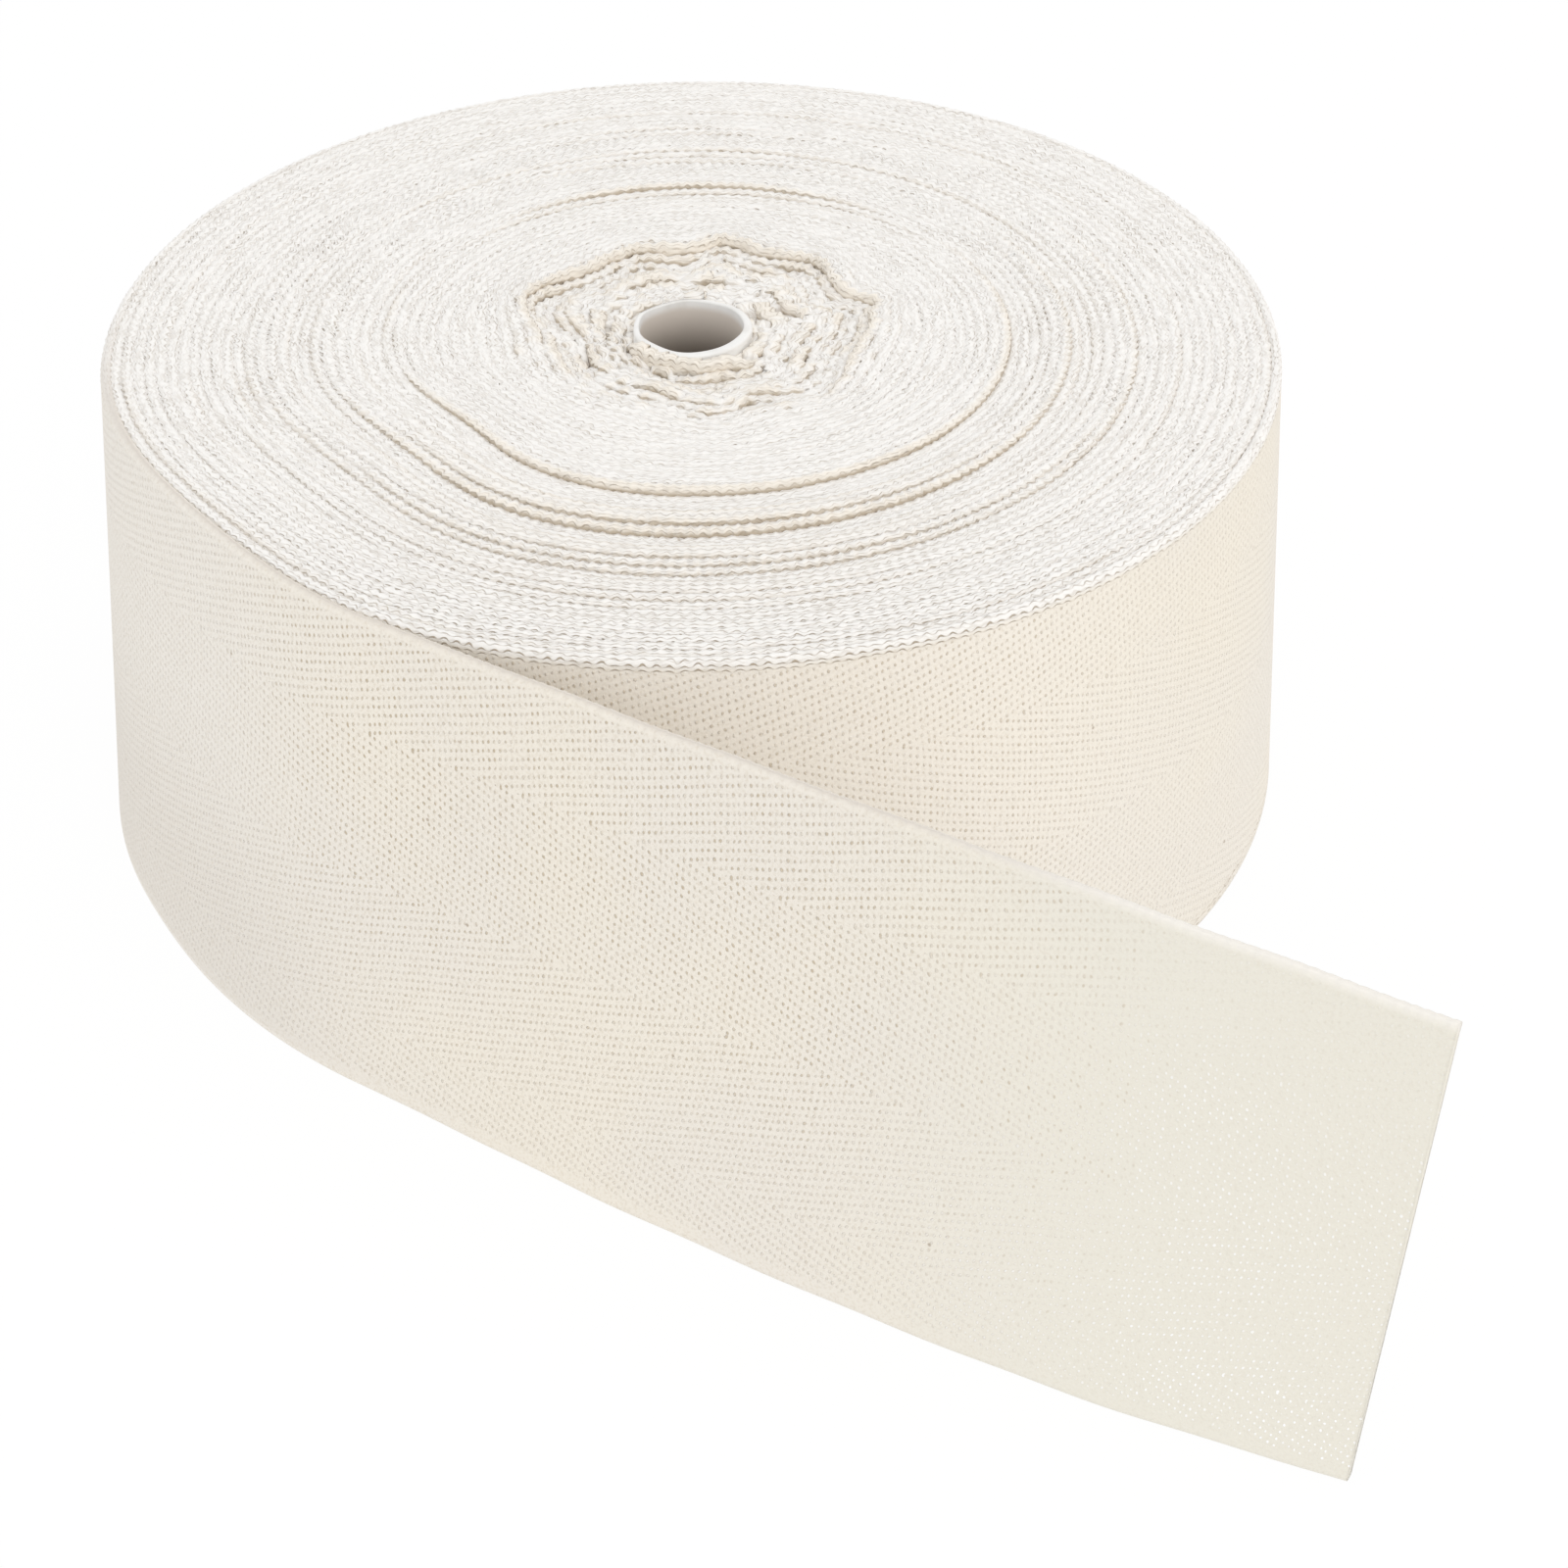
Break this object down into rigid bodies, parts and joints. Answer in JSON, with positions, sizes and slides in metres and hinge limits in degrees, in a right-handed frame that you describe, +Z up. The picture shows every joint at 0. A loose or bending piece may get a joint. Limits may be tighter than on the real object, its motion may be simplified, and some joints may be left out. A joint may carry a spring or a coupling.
{
  "type": "roll of twill tape",
  "caption": "Roll of natural cotton twill tape wound on a small white tube, standing on one face, its outer end drawn off straight.",
  "frame": {"origin": "middle of the whole footprint, on the surface that the roll stands on", "axes": "+Z up along the roll's axis; the loose end is drawn off towards -Y and +X, so the longest side is along Y"},
  "size_m": [0.125, 0.1718, 0.0508],
  "materials": {
    "cotton_tape": "natural unbleached cotton, herringbone twill weave, matte with soft sheen",
    "tube": "white, slightly worn, satin"
  },
  "bodies": {
    "root": {"wound_roll": "cotton_tape", "loose_end": "cotton_tape", "core_tube": "tube"}
  },
  "joints": []
}
